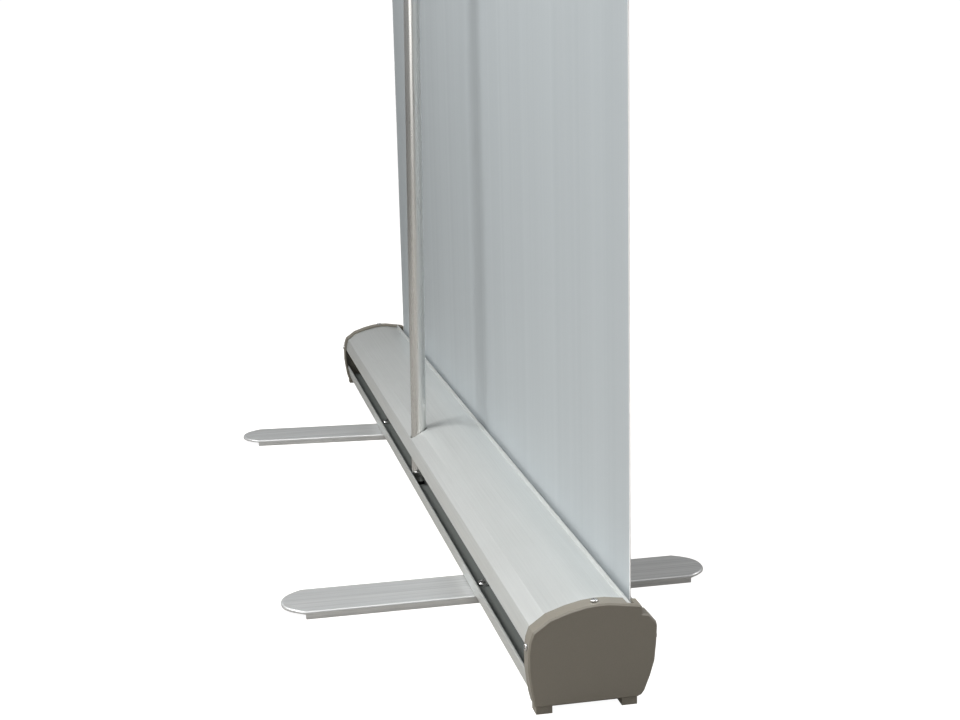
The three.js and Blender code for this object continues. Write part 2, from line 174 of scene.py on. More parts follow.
def round_edges(piece: Object, width: float, segments: int = 3) -> Object:
    """Round a piece's sharp edges.

    Args:
        piece: The piece to round.
        width: How far the rounding reaches from each edge.
        segments: How many steps it takes.

    Returns:
        The piece.
    """
    bevel = piece.modifiers.new("rounding", "BEVEL")
    bevel.width = width
    bevel.segments = segments
    bevel.limit_method = "ANGLE"
    bevel.angle_limit = CREASE_FROM
    bevel.harden_normals = True
    piece.data.shade_smooth()
    bake_modifiers(piece)
    return piece


def copy_of(node: str, name: str) -> Object:
    """Copy a CAD node's solid as one closed shell with flat stretches as single faces.

    Args:
        node: The CAD node.
        name: The new piece's name.

    Returns:
        The new piece.
    """
    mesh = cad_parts[node].data.copy()
    mesh.materials.clear()
    shell = bmesh.new()
    shell.from_mesh(mesh)
    bmesh.ops.remove_doubles(shell, verts=shell.verts, dist=WELD)
    bmesh.ops.dissolve_limit(shell, angle_limit=FLAT_WITHIN, verts=shell.verts, edges=shell.edges)
    shell.to_mesh(mesh)
    shell.free()
    shade(mesh)
    return new_object(name, mesh)


def end_outline(node: str, axis: int = 0) -> Outline:
    """Read the outline of a CAD bar from its end face.

    Args:
        node: The CAD node.
        axis: The axis the bar runs along: 0, 1 or 2.

    Returns:
        The outline's points in order, on the two axes after that one.
    """
    shell = bmesh.new()
    shell.from_mesh(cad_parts[node].data)
    bmesh.ops.remove_doubles(shell, verts=shell.verts, dist=WELD)
    end = max(vertex.co[axis] for vertex in shell.verts)
    away = [face for face in shell.faces if abs(face.calc_center_median()[axis] - end) > LEVEL_WITHIN]
    bmesh.ops.delete(shell, geom=away, context="FACES")
    rim = [edge for edge in shell.edges if edge.is_boundary]
    following: dict[bmesh.types.BMVert, bmesh.types.BMVert] = {}
    for edge in rim:
        loop = edge.link_loops[0]
        following[loop.vert] = loop.link_loop_next.vert
    first = rim[0].link_loops[0].vert
    ring = [first]
    while following[ring[-1]] != first:
        ring.append(following[ring[-1]])
    across, up = (axis + 1) % 3, (axis + 2) % 3
    outline = [(vertex.co[across], vertex.co[up]) for vertex in ring]
    shell.free()
    return outline


def softened(outline: Outline, radius: float, steps: int = 3) -> Outline:
    """Replace each corner of a closed outline by a short arc.

    Args:
        outline: The outline's points.
        radius: The most that an arc reaches along each side of its corner.
        steps: How many chords an arc has.

    Returns:
        The outline with rounded corners.
    """
    made: Outline = []
    count = len(outline)
    for place in range(count):
        before, here, after = (Vector(outline[(place + by) % count]) for by in (-1, 0, 1))
        back, on = before - here, after - here
        reach = min(radius, CORNER_SHARE * back.length, CORNER_SHARE * on.length)
        if reach < WELD or back.angle(-on) < NO_CORNER:
            made.append(tuple(here))
            continue
        start, end = here + back.normalized() * reach, here + on.normalized() * reach
        for step in range(steps + 1):
            share = step / steps
            point = start.lerp(here, share).lerp(here.lerp(end, share), share)
            made.append(tuple(point))
    return made


def lathe(name: str, profile: Outline, place: Matrix, sides: int = 64) -> Object:
    """Turn a profile about an axis.

    Args:
        name: The piece's name.
        profile: (radius, height) points that close on themselves or end on the axis.
        place: Moves the axis, which is Z, to where the piece stands.
        sides: How many steps one turn has.

    Returns:
        The turned piece.
    """
    corners: list[Vector] = []
    faces: list[tuple[int, ...]] = []
    count = len(profile)
    for side in range(sides):
        turn = 2 * math.pi * side / sides
        for radius, height in profile:
            point = Vector((radius * math.cos(turn), radius * math.sin(turn), height))
            corners.append(place @ point)
    closed = profile[0][0] > WELD
    for side in range(sides):
        beside = (side + 1) % sides
        for step in range(count if closed else count - 1):
            low, high = step, (step + 1) % count
            ring = (side * count + low, beside * count + low, beside * count + high, side * count + high)
            faces.append(ring)
    return new_object(name, mesh_from(name, corners, faces))


def tube_profile(inner: float, outer: float, low: float, high: float, edge: float) -> Outline:
    """Give the profile of a tube or a disc with rounded edges.

    Args:
        inner: Inner radius, or 0 for a disc.
        outer: Outer radius.
        low: Height of its lower end.
        high: Height of its upper end.
        edge: Radius of its edges.

    Returns:
        The profile, for lathe.
    """
    square = [(inner, low), (outer, low), (outer, high), (inner, high)]
    if inner > 0:
        return softened(square, edge)
    rounded = softened([(-outer, low), (outer, low), (outer, high), (-outer, high)], edge)
    right = [point for point in rounded if point[0] > 0]
    return [(0.0, low), *right, (0.0, high)]


def slab(name: str, low: Vector, high: Vector) -> Object:
    """Make a box between two corners, for use as a cutter or to be rounded.

    Args:
        name: The object's name.
        low: Its lowest corner.
        high: Its highest corner.

    Returns:
        The box.
    """
    spans = [(low[axis], high[axis]) for axis in range(3)]
    corners = [Vector(corner) for corner in product(*spans)]
    faces = [(0, 1, 3, 2), (4, 6, 7, 5), (0, 4, 5, 1), (2, 3, 7, 6), (0, 2, 6, 4), (1, 5, 7, 3)]
    return new_object(name, mesh_from(name, corners, faces))


def node_box(node: str) -> tuple[Vector, Vector]:
    """Give a CAD node's lowest and highest corners."""
    low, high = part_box(node)
    return Vector(low), Vector(high)


def upright_at(low: Vector, high: Vector) -> Matrix:
    """Give the place of a vertical axis through the middle of a box, standing on the floor."""
    return Matrix.Translation(((low.x + high.x) / 2, (low.y + high.y) / 2, 0))


# ---- node trees


class Tree:
    """A node tree under construction, for geometry or shading."""

    def __init__(self, tree: NodeTree) -> None:
        """Hold the tree."""
        self.tree = tree

    def add(self, kind: str, settings: dict[str, object] | None = None, **inputs: object) -> bpy.types.Node:
        """Add a node.

        Args:
            kind: The node's type name.
            settings: Its properties.
            inputs: Its input sockets, with _ for a space: a value, or a socket to link from.

        Returns:
            The node.
        """
        node = self.tree.nodes.new(kind)
        for name, value in (settings or {}).items():
            setattr(node, name, value)
        for name, value in inputs.items():
            self.feed(self.socket(node, name), value)
        return node

    @staticmethod
    def socket(node: bpy.types.Node, name: str) -> Socket:
        """Find an input by its name, or by its number as in i0."""
        if name[0] == "i" and name[1:].isdigit():
            return node.inputs[int(name[1:])]
        return node.inputs[name.replace("_", " ")]

    def feed(self, socket: Socket, value: object) -> None:
        """Set or link a socket.

        Args:
            socket: The input.
            value: A constant, or the output socket that feeds it.
        """
        if isinstance(value, Socket):
            self.tree.links.new(value, socket)
        else:
            socket.default_value = value

    def close(self, shape: Socket, finish: Socket, result: Socket) -> NodeTree:
        """End a geometry tree with real geometry of one material.

        Args:
            shape: The geometry so far.
            finish: The material.
            result: The socket that feeds the group's output.

        Returns:
            The finished tree.
        """
        real = self.add("GeometryNodeRealizeInstances", Geometry=shape).outputs[0]
        done = self.add("GeometryNodeSetMaterial", Geometry=real, Material=finish).outputs[0]
        self.feed(result, done)
        return self.tree


def new_group(
    name: str, kind: str, inputs: dict[str, str], outputs: dict[str, str]
) -> tuple[Tree, dict[str, Socket], dict[str, Socket]]:
    """Start a node group with named sockets.

    Args:
        name: The group's name.
        kind: ShaderNodeTree or GeometryNodeTree.
        inputs: Each input's name and what it carries, such as Float.
        outputs: The same for each output.

    Returns:
        The tree, its inputs by name and the sockets that feed its outputs by name.
    """
    tree = bpy.data.node_groups.new(name, kind)
    for label, carries in inputs.items():
        tree.interface.new_socket(label, in_out="INPUT", socket_type=f"NodeSocket{carries}")
    for label, carries in outputs.items():
        tree.interface.new_socket(label, in_out="OUTPUT", socket_type=f"NodeSocket{carries}")
    enter = tree.nodes.new("NodeGroupInput")
    leave = tree.nodes.new("NodeGroupOutput")
    given = {label: enter.outputs[label] for label in inputs}
    wanted = {label: leave.inputs[label] for label in outputs}
    return Tree(tree), given, wanted


def socket_id(tree: NodeTree, label: str) -> str:
    """Give the identifier of a group's input."""
    return next(item.identifier for item in tree.interface.items_tree if item.name == label)


def bar_tree() -> NodeTree:
    """Build the tree that runs a closed outline along the cassette.

    Returns:
        A geometry tree: the outline's edges in the XY plane become a bar along X, from Start
        over Length.
    """
    sockets = {
        "Outline": "Geometry",
        "Start": "Float",
        "Length": "Float",
        "Finish": "Material",
    }
    tree, given, wanted = new_group("Extruded Bar", "GeometryNodeTree", sockets, {"Bar": "Geometry"})
    curve = tree.add("GeometryNodeMeshToCurve", Mesh=given["Outline"]).outputs[0]
    end = tree.add("GeometryNodeFillCurve", {"mode": "NGONS"}, Curve=curve).outputs[0]
    far = tree.add("GeometryNodeExtrudeMesh", {"mode": "FACES"}, Mesh=end, Individual=False)
    tree.feed(far.inputs["Offset Scale"], given["Length"])
    near = tree.add("GeometryNodeFlipFaces", Mesh=end).outputs[0]
    both = tree.add("GeometryNodeJoinGeometry")
    tree.feed(both.inputs[0], far.outputs[0])
    tree.feed(both.inputs[0], near)
    merged = tree.add("GeometryNodeMergeByDistance", Geometry=both.outputs[0], Distance=WELD).outputs[0]
    along = Matrix(((0, 0, 1), (1, 0, 0), (0, 1, 0))).to_euler()
    start = tree.add("ShaderNodeCombineXYZ", X=given["Start"]).outputs[0]
    placed = tree.add("GeometryNodeTransform", Geometry=merged, Translation=start, Rotation=along)
    smooth = tree.add("GeometryNodeSetShadeSmooth", {"domain": "FACE"}, Geometry=placed.outputs[0])
    return tree.close(smooth.outputs[0], given["Finish"], wanted["Bar"])


def screws_tree() -> NodeTree:
    """Build the tree that puts a screw on each point, standing along its aim attribute.

    Returns:
        A geometry tree with the screw object and the finish as inputs.
    """
    sockets = {"Points": "Geometry", "Screw": "Object", "Finish": "Material"}
    tree, given, wanted = new_group("Screw Set", "GeometryNodeTree", sockets, {"Screws": "Geometry"})
    shape = tree.add("GeometryNodeObjectInfo", Object=given["Screw"]).outputs["Geometry"]
    aim = tree.add("GeometryNodeInputNamedAttribute", {"data_type": "FLOAT_VECTOR"}, Name="aim").outputs[0]
    turn = tree.add("FunctionNodeAlignRotationToVector", {"axis": "Z"}, Vector=aim).outputs[0]
    copies = tree.add("GeometryNodeInstanceOnPoints", Points=given["Points"], Instance=shape, Rotation=turn)
    return tree.close(copies.outputs[0], given["Finish"], wanted["Screws"])


def coil_tree() -> NodeTree:
    """Build the tree that winds a wire into a coil along X.

    Returns:
        A geometry tree with the coil's place, size and wire as inputs.
    """
    sockets = {
        "Seed": "Geometry",
        "Centre": "Vector",
        "Length": "Float",
        "Radius": "Float",
        "Wire Radius": "Float",
        "Turns": "Float",
        "Finish": "Material",
    }
    tree, given, wanted = new_group("Wound Coil", "GeometryNodeTree", sockets, {"Coil": "Geometry"})
    round_about = {"Start_Radius": given["Radius"], "End_Radius": given["Radius"], "Height": given["Length"]}
    spiral = tree.add("GeometryNodeCurveSpiral", Resolution=COIL_STEPS, Rotations=given["Turns"], **round_about)
    lying = tree.add("GeometryNodeTransform", Geometry=spiral.outputs[0], Translation=given["Centre"])
    tree.feed(lying.inputs["Rotation"], (0.0, math.pi / 2, 0.0))
    wire = tree.add("GeometryNodeCurvePrimitiveCircle", Resolution=WIRE_SIDES, Radius=given["Wire Radius"])
    sweep = {"Profile_Curve": wire.outputs[0], "Fill_Caps": True}
    swept = tree.add("GeometryNodeCurveToMesh", Curve=lying.outputs[0], **sweep)
    return tree.close(swept.outputs[0], given["Finish"], wanted["Coil"])


def grown(piece: Object, tree: NodeTree, **inputs: object) -> Object:
    """Run a geometry tree on a piece and keep the result as its mesh.

    Args:
        piece: The object that holds the tree's starting geometry.
        tree: The tree.
        inputs: The tree's inputs, with _ for a space.

    Returns:
        The piece.
    """
    modifier = piece.modifiers.new(tree.name, "NODES")
    modifier.node_group = tree
    for label, value in inputs.items():
        modifier[socket_id(tree, label.replace("_", " "))] = value
    return bake_modifiers(piece)


# ---- finishes


def drawn_lines_group() -> NodeTree:
    """Build the fine lines that drawing or brushing leaves along a piece.

    Returns:
        A shader group: Lines is a mask from 0 to 1 and Tone a slower drift of the same kind.
    """
    inputs = {"Vector": "Vector", "Squeeze": "Vector", "Fineness": "Float"}
    outputs = {"Lines": "Float", "Tone": "Float"}
    tree, given, wanted = new_group("Drawn Lines", "ShaderNodeTree", inputs, outputs)
    long = tree.add("ShaderNodeVectorMath", MULTIPLY, i0=given["Vector"], i1=given["Squeeze"])
    scale = given["Fineness"]
    fine = tree.add("ShaderNodeTexNoise", Vector=long.outputs[0], Scale=scale, Detail=5.0, Roughness=0.7)
    slower = tree.add("ShaderNodeMath", MULTIPLY, i0=scale, i1=SLOW_DRIFT).outputs[0]
    slow = tree.add("ShaderNodeTexNoise", Vector=long.outputs[0], Scale=slower, Detail=2.0)
    spread = tree.add("ShaderNodeMapRange", Value=fine.outputs[0], From_Min=0.3, From_Max=0.7)
    tree.feed(wanted["Lines"], spread.outputs[0])
    tree.feed(wanted["Tone"], slow.outputs[0])
    return tree.tree


def handling_group() -> NodeTree:
    """Build the soft patches that hands and dust leave.

    Returns:
        A shader group: Smudge is a mask from 0 to 1.
    """
    inputs = {"Vector": "Vector", "Size": "Float", "Amount": "Float"}
    tree, given, wanted = new_group("Handling", "ShaderNodeTree", inputs, {"Smudge": "Float"})
    cloud = tree.add("ShaderNodeTexNoise", Vector=given["Vector"], Detail=4.0, Roughness=0.6, Distortion=0.4)
    tree.feed(cloud.inputs["Scale"], given["Size"])
    patch = tree.add("ShaderNodeMapRange", Value=cloud.outputs[0], From_Min=0.45, From_Max=0.7)
    smudge = tree.add("ShaderNodeMath", MULTIPLY, i0=patch.outputs[0], i1=given["Amount"])
    tree.feed(wanted["Smudge"], smudge.outputs[0])
    return tree.tree


def pebble_group() -> NodeTree:
    """Build the spark-eroded grain of a moulded surface.

    Returns:
        A shader group: Height for a bump and Speck, a mask from 0 to 1.
    """
    inputs = {"Vector": "Vector", "Fineness": "Float"}
    outputs = {"Height": "Float", "Speck": "Float"}
    tree, given, wanted = new_group("Moulded Grain", "ShaderNodeTree", inputs, outputs)
    cells = tree.add("ShaderNodeTexVoronoi", {"feature": "SMOOTH_F1"}, Vector=given["Vector"])
    tree.feed(cells.inputs["Scale"], given["Fineness"])
    cloud = tree.add("ShaderNodeTexNoise", Vector=given["Vector"], Scale=given["Fineness"], Detail=3.0)
    both = tree.add("ShaderNodeMath", {"operation": "ADD"}, i0=cells.outputs["Distance"], i1=cloud.outputs[0])
    tree.feed(wanted["Height"], both.outputs[0])
    tree.feed(wanted["Speck"], cloud.outputs[0])
    return tree.tree


class Effects:
    """The shader groups that several finishes share, each built once."""

    def __init__(self) -> None:
        """Build the groups."""
        self.lines = drawn_lines_group()
        self.handling = handling_group()
        self.pebble = pebble_group()


class Grain(Enum):
    """The way a piece was drawn or brushed, as how far each axis is squeezed."""

    ALONG_X = (0.012, 1.0, 1.0)
    ALONG_Y = (1.0, 0.012, 1.0)
    ALONG_Z = (1.0, 1.0, 0.008)
    DOWN_FILM = (1.0, 1.0, 0.006)


class Paint:
    """A material under construction: its tree, its shader and its coordinates."""

    def __init__(self, name: str) -> None:
        """Start a material with a Principled shader.

        Args:
            name: The material's name.
        """
        self.material = bpy.data.materials.new(name)
        self.material.use_nodes = True
        self.material.node_tree.nodes.clear()
        self.tree = Tree(self.material.node_tree)
        self.shader = self.tree.add("ShaderNodeBsdfPrincipled")
        out = self.tree.add("ShaderNodeOutputMaterial")
        self.tree.feed(out.inputs["Surface"], self.shader.outputs[0])
        self.where = self.tree.add("ShaderNodeTexCoord").outputs["Object"]

    def group(self, group: NodeTree, **inputs: object) -> bpy.types.Node:
        """Place a shared effect's group and give its node."""
        return self.tree.add("ShaderNodeGroup", {"node_tree": group}, **inputs)

    def blend(self, share: Socket, low: Triple, high: Triple) -> Socket:
        """Mix two colours by a mask: low at 0, high at 1."""
        ends = {"i6": (*low, 1), "i7": (*high, 1)}
        return self.tree.add("ShaderNodeMix", {"data_type": "RGBA"}, i0=share, **ends).outputs[2]

    def darken(self, colour: Socket, share: Socket, to: Triple) -> Socket:
        """Multiply a colour by another where a mask is high."""
        settings = {"data_type": "RGBA", "blend_type": "MULTIPLY"}
        return self.tree.add("ShaderNodeMix", settings, i0=share, i6=colour, i7=(*to, 1)).outputs[2]

    def between(self, share: Socket, low: float, high: float) -> Socket:
        """Map a mask from 0 to 1 to a range of values."""
        return self.tree.add("ShaderNodeMapRange", Value=share, To_Min=low, To_Max=high).outputs[0]

    def bump(self, height: Socket, depth: float, strength: float) -> None:
        """Feed the shader a bump from a height mask, as deep as depth in metres."""
        bump = self.tree.add("ShaderNodeBump", Height=height, Distance=depth, Strength=strength)
        self.tree.feed(self.shader.inputs["Normal"], bump.outputs[0])

    def set(self, **inputs: object) -> None:
        """Set or link the shader's sockets, with _ for a space."""
        for label, value in inputs.items():
            self.tree.feed(self.shader.inputs[label.replace("_", " ")], value)


@dataclass(frozen=True)
class Alloy:
    """Satin aluminium, drawn or brushed along one axis."""

    name: str
    light: Triple = (0.75, 0.77, 0.755)
    dark: Triple = (0.67, 0.69, 0.68)
    grain: Grain = Grain.ALONG_X
    fineness: float = 900.0
    roughness: Span = (0.34, 0.46)
    metallic: float = 0.65
    streak: float = 0.06
    soil: Triple = (0.95, 0.95, 0.945)
    line_depth: float = 0.02 * MM
    line_strength: float = 0.35

    def material(self, effects: Effects) -> Material:
        """Make the material.

        Args:
            effects: The shared shader groups.

        Returns:
            The material.
        """
        paint = Paint(self.name)
        squeeze = self.grain.value
        lines = paint.group(effects.lines, Vector=paint.where, Squeeze=squeeze, Fineness=self.fineness)
        smudge = paint.group(effects.handling, Vector=paint.where, Size=9.0, Amount=0.5).outputs["Smudge"]
        colour = paint.blend(lines.outputs["Tone"], self.dark, self.light)
        colour = paint.darken(colour, smudge, self.soil)
        colour = paint.darken(colour, lines.outputs["Lines"], (1 - self.streak,) * 3)
        rough = paint.between(lines.outputs["Lines"], *self.roughness)
        paint.bump(lines.outputs["Lines"], self.line_depth, self.line_strength)
        paint.set(Base_Color=colour, Roughness=rough, Metallic=self.metallic)
        return paint.material


@dataclass(frozen=True)
class Moulding:
    """Moulded plastic or rubber with a fine grain."""

    name: str
    colour: Triple
    roughness: float = 0.55
    fineness: float = 2200.0
    depth: float = 0.04 * MM
    grain_strength: float = 0.4
    smudge: float = 0.4
    dulling: float = 0.12
    lighten: float = 1.12
    haze: float = 0.004
    deepen: float = 0.93

    def material(self, effects: Effects) -> Material:
        """Make the material.

        Args:
            effects: The shared shader groups.

        Returns:
            The material.
        """
        paint = Paint(self.name)
        grain = paint.group(effects.pebble, Vector=paint.where, Fineness=self.fineness)
        dust = paint.group(effects.handling, Vector=paint.where, Size=24.0, Amount=self.smudge)
        lighter = tuple(min(1.0, part * self.lighten + self.haze) for part in self.colour)
        darker = tuple(part * self.deepen for part in self.colour)
        colour = paint.blend(grain.outputs["Speck"], darker, lighter)
        paint.bump(grain.outputs["Height"], self.depth, self.grain_strength)
        rough = paint.between(dust.outputs["Smudge"], self.roughness, self.roughness + self.dulling)
        paint.set(Base_Color=colour, Roughness=rough)
        return paint.material


@dataclass(frozen=True)
class Steel:
    """Turned or plated steel."""

    name: str
    colour: Triple = (0.80, 0.80, 0.80)
    roughness: float = 0.22
    wear: float = 0.72
    dulling: float = 0.2

    def material(self, effects: Effects) -> Material:
        """Make the material.

        Args:
            effects: The shared shader groups.

        Returns:
            The material.
        """
        paint = Paint(self.name)
        wear = paint.group(effects.handling, Vector=paint.where, Size=300.0, Amount=1.0).outputs["Smudge"]
        worn = tuple(part * self.wear for part in self.colour)
        paint.set(
            Base_Color=paint.blend(wear, self.colour, worn),
            Roughness=paint.between(wear, self.roughness, self.roughness + self.dulling),
            Metallic=1.0,
        )
        return paint.material


@dataclass(frozen=True)
class FilmFace:
    """One face of the printed film: smooth, with faint streaks down its length."""

    name: str
    light: Triple
    dark: Triple
    roughness: Span = (0.42, 0.5)
    fineness: float = 160.0
    faint: Triple = (0.985, 0.985, 0.985)
    ripple: float = 0.2 * MM
    ripple_strength: float = 0.25

    def material(self, effects: Effects) -> Material:
        """Make the material.

        Args:
            effects: The shared shader groups.

        Returns:
            The material.
        """
        paint = Paint(self.name)
        down = Grain.DOWN_FILM.value
        lines = paint.group(effects.lines, Vector=paint.where, Squeeze=down, Fineness=self.fineness)
        colour = paint.blend(lines.outputs["Tone"], self.dark, self.light)
        colour = paint.darken(colour, lines.outputs["Lines"], self.faint)
        rough = paint.between(lines.outputs["Lines"], *self.roughness)
        paint.bump(lines.outputs["Tone"], self.ripple, self.ripple_strength)
        paint.set(Base_Color=colour, Roughness=rough)
        return paint.material


@dataclass(frozen=True)
class Braid:
    """The woven cover of the shock cord."""

    name: str
    dark: Triple = (0.02, 0.02, 0.022)
    light: Triple = (0.16, 0.16, 0.17)
    soil: Triple = (0.8, 0.78, 0.75)
    pitch: float = 900.0
    twist: float = 1.5
    depth: float = 0.2 * MM
    strength: float = 0.8

    def material(self, effects: Effects) -> Material:
        """Make the material.

        Args:
            effects: The shared shader groups.

        Returns:
            The material.
        """
        paint = Paint(self.name)
        strands = paint.tree.add("ShaderNodeTexWave", {"bands_direction": "DIAGONAL"}, Vector=paint.where)
        strands.inputs["Scale"].default_value = self.pitch
        strands.inputs["Distortion"].default_value = self.twist
        smudge = paint.group(effects.handling, Vector=paint.where, Size=60.0, Amount=0.5).outputs["Smudge"]
        colour = paint.blend(strands.outputs["Fac"], self.dark, self.light)
        colour = paint.darken(colour, smudge, self.soil)
        paint.bump(strands.outputs["Fac"], self.depth, self.strength)
        paint.set(Base_Color=colour, Roughness=0.85)
        return paint.material


class Finishes:
    """Every finish of the stand, made once."""

    def __init__(self) -> None:
        """Make the materials."""
        effects = Effects()
        self.profile = Alloy("anodised profile").material(effects)
        # Painted shade: this dark alloy stands for the shadow inside the base's channel, which is the same
        # aluminium as the outside.
        self.channel = Alloy(
            "painted channel shade",
            light=(0.2, 0.215, 0.205),
            dark=(0.12, 0.13, 0.125),
            roughness=(0.5, 0.65),
            metallic=0.3,
        ).material(effects)
        self.pole = Alloy(
            "anodised pole",
            grain=Grain.ALONG_Z,
            light=(0.78, 0.78, 0.76),
            dark=(0.68, 0.68, 0.665),
            roughness=(0.24, 0.34),
            metallic=0.9,
        ).material(effects)
        self.foot = Alloy(
            "brushed foot",
            grain=Grain.ALONG_Y,
            fineness=380.0,
            roughness=(0.3, 0.5),
            light=(0.86, 0.87, 0.865),
            dark=(0.7, 0.71, 0.71),
            streak=0.3,
        ).material(effects)
        self.cap = Moulding("grey cap moulding", (0.19, 0.175, 0.145), roughness=0.38).material(effects)
        self.black = Moulding("black moulding", (0.012, 0.012, 0.013), roughness=0.42).material(effects)
        self.rubber = Moulding("rubber pad", (0.01, 0.01, 0.01), roughness=0.8, smudge=0.8).material(effects)
        self.plated = Steel("plated fixing").material(effects)
        self.steel = Steel("plain steel", (0.5, 0.5, 0.51), 0.32).material(effects)
        self.film_back = FilmFace("film back", (0.41, 0.447, 0.462), (0.355, 0.386, 0.402)).material(effects)
        self.film_front = FilmFace(
            "film front", (0.86, 0.86, 0.85), (0.82, 0.82, 0.82), (0.3, 0.36)
        ).material(effects)
        self.braid = Braid("braided cord").material(effects)


# ---- sub-assemblies


def dress(piece: Object, finish: Material, body: str, *nodes: str) -> None:
    """Give a finished piece its material, its body and the nodes it stands for.

    Args:
        piece: The piece.
        finish: Its material.
        body: The body that it rides on.
        nodes: The CAD nodes that it replaces.
    """
    piece.data.materials.clear()
    piece.data.materials.append(finish)
    for face in piece.data.polygons:
        face.material_index = 0
    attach(piece, body)
    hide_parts(*nodes)
    log.info("%s stands for %s", piece.name, ", ".join(nodes))


def coat(nodes: list[str], finish: Material) -> None:
    """Give CAD nodes that stay as they are a better material.

    Args:
        nodes: The nodes.
        finish: Their material.
    """
    for node in nodes:
        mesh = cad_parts[node].data
        if not mesh.materials:
            mesh.materials.append(finish)
        for place in range(len(mesh.materials)):
            mesh.materials[place] = finish
        log.info("%s keeps its solid", node)


@dataclass
class Bars:
    """The drawn profiles: both halves of the cassette and both halves of the top rail."""

    finishes: Finishes
    softening: float = 0.3 * MM
    hole_radius: float = 7.0 * MM
    hole_span: Span = (0.02, 0.07)
    pivot_hole: float = 3.0 * MM
    pivot_span: Span = (0.002, 0.011)
    channel_floor: float = 9.0 * MM
    channel_top: float = 50.0 * MM
    wall_at: float = 6.0 * MM
    wall_reach: float = 2.0 * MM

    def __post_init__(self) -> None:
        """Build the shared tree."""
        self.tree = bar_tree()

    def bar(self, node: str, name: str) -> Object:
        """Run a CAD bar's own outline along its length.

        Args:
            node: The CAD node.
            name: The piece's name.

        Returns:
            The bar.
        """
        low, high = node_box(node)
        outline = end_outline(node)
        ring = bpy.data.meshes.new(name)
        count = len(outline)
        edges = [(place, (place + 1) % count) for place in range(count)]
        ring.from_pydata([(across, up, 0.0) for across, up in outline], edges, [])
        sizes = {"Start": low.x, "Length": high.x - low.x}
        return grown(new_object(name, ring), self.tree, **sizes, Finish=self.finishes.profile)

    def build(self, pole: "Pole") -> None:
        """Make the four profiles.

        Args:
            pole: Where the pole goes through the cover.
        """
        cover = self.bar("top_cover", "cover extrusion")
        hole = lathe("pole hole", tube_profile(0, self.hole_radius, *self.hole_span, 0.0), pole.place())
        round_edges(carve(cover, [hole]), self.softening)
        dress(cover, self.finishes.profile, "cassette", "top_cover")
        base = self.bar("base_profile", "base extrusion")
        holes = []
        for side in ("left", "right"):
            axis = upright_at(*node_box(f"foot_bolt_{side}"))
            drill = tube_profile(0, self.pivot_hole, *self.pivot_span, 0.0)
            holes.append(lathe(f"pivot hole {side}", drill, axis, 32))
        round_edges(carve(base, holes), self.softening)
        dress(base, self.finishes.profile, "cassette", "base_profile")
        self.paint_channel_shade(base)
        for half, body in (("back", "top_rail"), ("front", "rail_jaw")):
            rail = round_edges(self.bar(f"rail_{half}", f"rail {half} half"), self.softening)
            dress(rail, self.finishes.profile, body, f"rail_{half}")

    def paint_channel_shade(self, base: Object) -> None:
        """Paint shade into the inside of the base: its inward faces get a dark alloy that stands for the shadow
        in the channel.

        Args:
            base: The base extrusion.
        """
        low, high = node_box("base_profile")
        middle = (low + high) / 2
        base.data.materials.append(self.finishes.channel)
        # Painted shade: faces inside the channel, below its top, get the dark alloy that stands for the shadow
        # there.
        for face in base.data.polygons:
            inward = face.normal.dot(Vector((0, middle.y - face.center.y, 0))) > 0
            level = face.normal.z > LEVEL_FACE and face.center.z < self.channel_floor
            wall = abs(face.center.y - self.wall_at) < self.wall_reach
            if (level or inward or wall) and face.center.z < self.channel_top:
                face.material_index = 1


